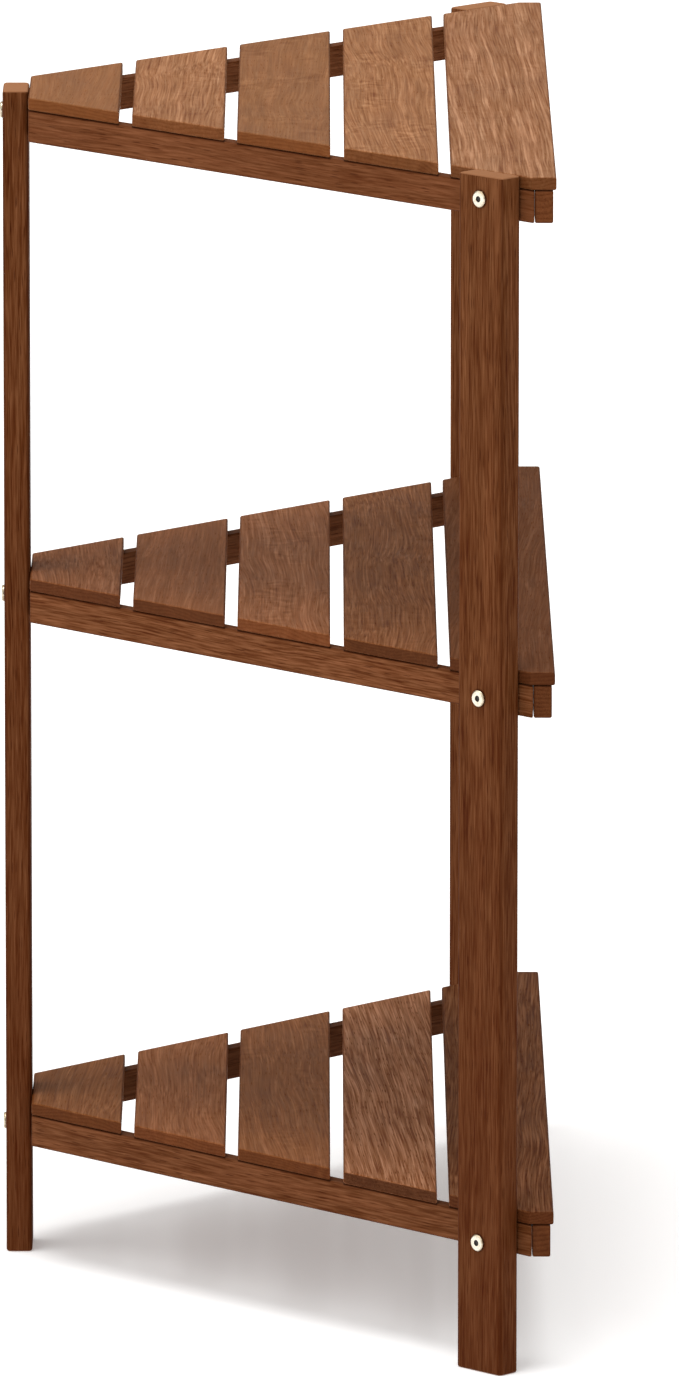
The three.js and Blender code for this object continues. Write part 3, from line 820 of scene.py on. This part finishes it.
def thread(root, crest, z0, z1, pitch, steps, fade=1.0, taper=None):
    """Rings of a helical thread from z0 to z1. It rises from the root over the first and last `fade` turns."""
    rings = []
    count = max(2, int((z1 - z0) / pitch * steps))
    for k in range(count + 1):
        z = z0 + (z1 - z0) * k / count
        rise = max(0.0, min(1.0, (z - z0) / (pitch * fade), (z1 - z) / (pitch * fade)))
        base = root if taper is None else root * taper(z)
        top = crest if taper is None else crest * taper(z)

        def radius(a, z=z, rise=rise, base=base, top=top):
            t = (z / pitch - a) % 1.0
            ridge = max(0.0, 1.0 - abs(t - 0.5) / 0.42)
            return base + (top - base) * min(1.0, ridge * 1.15) * rise

        rings.append((radius, z))
    return rings


def bolt_mesh():
    zh = GAP + LEG_T + HEAD_GAP
    rb, head = BOLT_D / 2, HEAD_D / 2
    tip = zh - BOLT_L
    rings = [(0, tip), (rb - 0.85 * MM, tip), (rb - 0.55 * MM, tip + 0.25 * MM)]
    rings += thread(rb - 0.5 * MM, rb, tip + 0.4 * MM, tip + 20 * MM, 1.0 * MM, 8)
    rings += [(rb - 0.12 * MM, tip + 20.4 * MM), (rb - 0.12 * MM, zh - 0.6 * MM), (rb, zh - 0.25 * MM), (rb + 0.3 * MM, zh)]
    rings += [(head - 0.45 * MM, zh), (head - 0.2 * MM, zh + 0.06 * MM), (head - 0.03 * MM, zh + 0.26 * MM), (head, zh + 0.45 * MM)]
    rings += [(head, zh + HEAD_T - 0.95 * MM), (head - 0.05 * MM, zh + HEAD_T - 0.72 * MM), (head - 0.22 * MM, zh + HEAD_T - 0.48 * MM)]
    rings += [(head - 0.85 * MM, zh + HEAD_T - 0.10 * MM), (head - 1.05 * MM, zh + HEAD_T - 0.02 * MM), (head - 1.3 * MM, zh + HEAD_T), (0, zh + HEAD_T)]
    o = link("bolt", spun("bolt", rings, 40))
    r = SOCKET_AF / math.sqrt(3)
    hexagon = turned_mesh("hexagon", [(0, -SOCKET_DEEP), (r * 0.55, -SOCKET_DEEP), (r, -SOCKET_DEEP + 0.45 * MM), (r, 1 * MM), (0, 1 * MM)], 6)
    mouth = turned_mesh("mouth", [(0, -0.28 * MM), (r - 0.24 * MM, -0.28 * MM), (r + 0.30 * MM, 0.26 * MM), (0, 0.26 * MM)], 40)
    place = Matrix.Translation((0, 0, zh + HEAD_T))
    carve(o, [(hexagon, place)])
    carve(o, [(mouth, place)])
    smooth(o, 30)
    me = o.data
    bpy.data.objects.remove(o)
    return me


def insert_mesh():
    ro, ri = INSERT_D / 2, INSERT_HOLE / 2
    z1 = -INSERT_IN
    z0 = z1 - INSERT_L
    outer = [(ri + 0.45 * MM, z0), (ro - 1.0 * MM, z0), (ro - 0.75 * MM, z0 + 0.3 * MM)]
    outer += thread(ro - 0.75 * MM, ro - 0.05 * MM, z0 + 0.4 * MM, z1 - 1.7 * MM, 3.0 * MM, 14, fade=0.5)
    outer += [(ro - 0.75 * MM, z1 - 1.55 * MM), (ro - 0.15 * MM, z1 - 1.40 * MM), (ro, z1 - 1.2 * MM), (ro, z1 - 0.2 * MM), (ro - 0.2 * MM, z1), (ri + 0.5 * MM, z1), (ri + 0.1 * MM, z1 - 0.4 * MM)]
    inner = thread(ri + 0.3 * MM, ri + 0.02 * MM, z0 + 0.5 * MM, z1 - 0.6 * MM, 1.0 * MM, 6)
    return spun("insert", outer + inner[::-1], 36, closed=True)


def screw_mesh():
    r, head = SCREW_D / 2, SCREW_HEAD / 2
    rings = [(0, 0), (head - 0.45 * MM, 0), (head - 0.18 * MM, 0.05 * MM), (head, 0.28 * MM), (head - 0.05 * MM, 0.5 * MM)]
    rings += [(r + 0.5 * MM, SCREW_CONE - 0.45 * MM), (r * 0.86, SCREW_CONE + 0.25 * MM), (r * 0.84, SCREW_CONE + 6 * MM)]

    def narrow(z):
        return 1.0 if z < SCREW_L - 7 * MM else max(0.12, 1.0 - 0.88 * ((z - SCREW_L + 7 * MM) / (7 * MM)) ** 1.2)

    rings += thread(r * 0.68, r, SCREW_CONE + 6.4 * MM, SCREW_L - 0.35 * MM, 1.7 * MM, 9, fade=0.5, taper=narrow)
    rings += [(0, SCREW_L)]
    o = link("screw", spun("screw", rings, 28))
    deep = 1.5 * MM
    cross = bmesh.new()
    for a in (0, math.pi / 2):
        vs = []
        for z, w, l in ((-0.5 * MM, 0.50 * MM, 2.25 * MM), (deep, 0.26 * MM, 0.95 * MM)):
            ring = []
            for sx, sy in ((-1, -1), (1, -1), (1, 1), (-1, 1)):
                p = Matrix.Rotation(a, 3, "Z") @ Vector((sx * l, sy * w, z))
                ring.append(cross.verts.new(p))
            vs.append(ring)
        cross.faces.new(vs[0][::-1])
        cross.faces.new(vs[1])
        for i in range(4):
            j = (i + 1) % 4
            cross.faces.new((vs[0][i], vs[0][j], vs[1][j], vs[1][i]))
        me = mesh_of("bar", cross)
        carve(o, [(me, Matrix.Identity(4))])
        cross = bmesh.new()
    cross.free()
    smooth(o, 32)
    me = o.data
    bpy.data.objects.remove(o)
    return me


BOLT, INSERT, SCREW = bolt_mesh(), insert_mesh(), screw_mesh()
for me in (INSERT,):
    me.polygons.foreach_set("use_smooth", [True] * len(me.polygons))
    me.set_sharp_from_angle(angle=math.radians(38))
NICKEL = metal("nickel", (0.85, 0.79, 0.66), (0.64, 0.57, 0.44), 0.25, 0.35, 2.6, (2.62, (GAP + LEG_T + HEAD_GAP) / MM + 0.1, (GAP + LEG_T + HEAD_GAP + HEAD_T) / MM - 0.14), rim_shade=(4.7, 5.8))
ZINC_CAST = metal("zinc_cast", (0.60, 0.53, 0.37), (0.40, 0.35, 0.25), 0.40, 0.5, 1.6, (INSERT_HOLE / 2 / MM + 0.35, -(INSERT_IN + INSERT_L) / MM, -INSERT_IN / MM - 0.8))
ZINC = metal("zinc", (0.66, 0.65, 0.62), (0.44, 0.43, 0.42), 0.34, 0.6, 2.2, (2.45, 0.12, 1.55))
for me, mat in ((BOLT, NICKEL), (INSERT, ZINC_CAST), (SCREW, ZINC)):
    me.materials.clear()
    me.materials.append(mat)


def fitted(name, mesh, matrix, slot, node):
    o = link(name, mesh, matrix)
    PIECES.append((o, slot, node))
    return o


rnd = random.Random(77)
for tier, top, bolts in TIERS:
    low = top - SLAT_T - RAIL_H
    for where in WHERES:
        at, out = bolt_place(where, bolts)
        fitted(f"bolt_{where}_{tier}_nickel", BOLT, toward(out, at, rnd.uniform(0, math.pi)), "bolt_nickel", f"bolt_{where}_{tier}")
        fitted(f"insert_{where}_{tier}_zinc", INSERT, toward(out, at, rnd.uniform(0, 2 * math.pi)), "insert_zinc", f"insert_{where}_{tier}")
    for s, where in ((-1, "left"), (1, "right")):
        for kind, x, y in (("front", s * SCREW_FRONT_X, FRONT_SETBACK + RAIL_T / 2 - Y0), ("corner", s * SCREW_BLOCK_X, SCREW_BLOCK_Y - Y0)):
            m = Matrix.Translation((x, y, low)) @ Matrix.Rotation(rnd.uniform(0, math.pi), 4, "Z")
            fitted(f"screw_{kind}_{where}_{tier}_zinc", SCREW, m, "screw_zinc", f"screw_{kind}_{where}_{tier}")

for o, slot, node in PIECES:
    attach(o, "root")
    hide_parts(node)

# ---------------------------------------------------------------- floor, light and camera

me = bpy.data.meshes.new("floor")
me.from_pydata([(-60, -60, 0), (60, -60, 0), (60, 60, 0), (-60, 60, 0)], [], [(0, 1, 2, 3)])
floor = link("floor", me)
g = Tree("floor")
spot = g.noise(g.scaled(g.node("ShaderNodeTexCoord").outputs["Object"], (3, 3, 3)), 3.0, 0.5)
g.put(g.bsdf.inputs["Base Color"], g.mix(spot, (0.88, 0.88, 0.88), (0.90, 0.898, 0.895)))
g.bsdf.inputs["Roughness"].default_value = 0.9
g.bsdf.inputs["Specular IOR Level"].default_value = 0.0
g.bsdf.inputs["Emission Color"].default_value = (1.0, 0.985, 0.975, 1.0)
g.bsdf.inputs["Emission Strength"].default_value = 0.27
me.materials.append(g.mat)

world = bpy.data.worlds.new("studio")
bpy.context.scene.world = world
world.use_nodes = True
t = world.node_tree
t.nodes.clear()
out = t.nodes.new("ShaderNodeOutputWorld")
path = t.nodes.new("ShaderNodeLightPath")


def background(colour, strength):
    n = t.nodes.new("ShaderNodeBackground")
    n.inputs["Color"].default_value = (*colour, 1)
    n.inputs["Strength"].default_value = strength
    return n


def choose(ray, yes, no):
    n = t.nodes.new("ShaderNodeMixShader")
    t.links.new(path.outputs[ray], n.inputs[0])
    t.links.new(no.outputs[0], n.inputs[1])
    t.links.new(yes.outputs[0], n.inputs[2])
    return n


# A white sweep to look at, an even soft light, and reflections that are bright overhead and dimmer near the horizon.
shown = background((1, 1, 1), 1.0)
lit = background((1.0, 0.995, 0.985), 0.64)
mirrored = background((1.0, 0.97, 0.86), 1.0)
split = t.nodes.new("ShaderNodeSeparateXYZ")
t.links.new(t.nodes.new("ShaderNodeTexCoord").outputs["Generated"], split.inputs[0])
rise = t.nodes.new("ShaderNodeMapRange")
rise.interpolation_type = "SMOOTHSTEP"
for k, v in (("From Min", 0.10), ("From Max", 0.70), ("To Min", 0.22), ("To Max", 1.15)):
    rise.inputs[k].default_value = v
t.links.new(split.outputs[2], rise.inputs["Value"])
t.links.new(rise.outputs["Result"], mirrored.inputs["Strength"])
t.links.new(choose("Is Camera Ray", shown, choose("Is Glossy Ray", mirrored, lit)).outputs[0], out.inputs[0])


def sun(name, toward_light, strength, spread, colour=(1, 1, 1)):
    data = bpy.data.lights.new(name, "SUN")
    data.energy, data.angle, data.color = strength, math.radians(spread), colour
    o = bpy.data.objects.new(name, data)
    bpy.context.scene.collection.objects.link(o)
    o.rotation_mode = "QUATERNION"
    o.rotation_quaternion = Vector(toward_light).normalized().to_track_quat("Z", "Y")
    return o


sun("key", (-0.08, 0.06, 1.0), 1.75, 34)
sun("fill", (-0.55, 0.84, 0.33), 1.15, 90)

camera = bpy.data.cameras.new("camera")
camera.sensor_fit, camera.sensor_width, camera.lens = "AUTO", 36.0, 16310.5 * 36 / 1385
camera.clip_start, camera.clip_end = 0.1, 200.0
cam = bpy.data.objects.new("camera", camera)
bpy.context.scene.collection.objects.link(cam)
yaw, pitch, roll = -0.00129, 0.19228, 0.00033
fw = Vector((math.cos(pitch) * math.cos(yaw), math.cos(pitch) * math.sin(yaw), -math.sin(pitch)))
rt = Vector((math.sin(yaw), -math.cos(yaw), 0))
up = rt.cross(fw)
right = rt * math.cos(roll) + up * math.sin(roll)
upward = up * math.cos(roll) - rt * math.sin(roll)
cam.matrix_world = basis(right, upward, -fw, (-11.67364, 0.1663 - Y0, 2.68584))
bpy.context.scene.camera = cam

view = bpy.context.scene.view_settings
view.view_transform, view.look, view.exposure, view.gamma = "Standard", "None", 0.0, 1.0

for leftover in [m for m in bpy.data.meshes if m.users == 0]:
    bpy.data.meshes.remove(leftover)

bpy.context.view_layer.update()
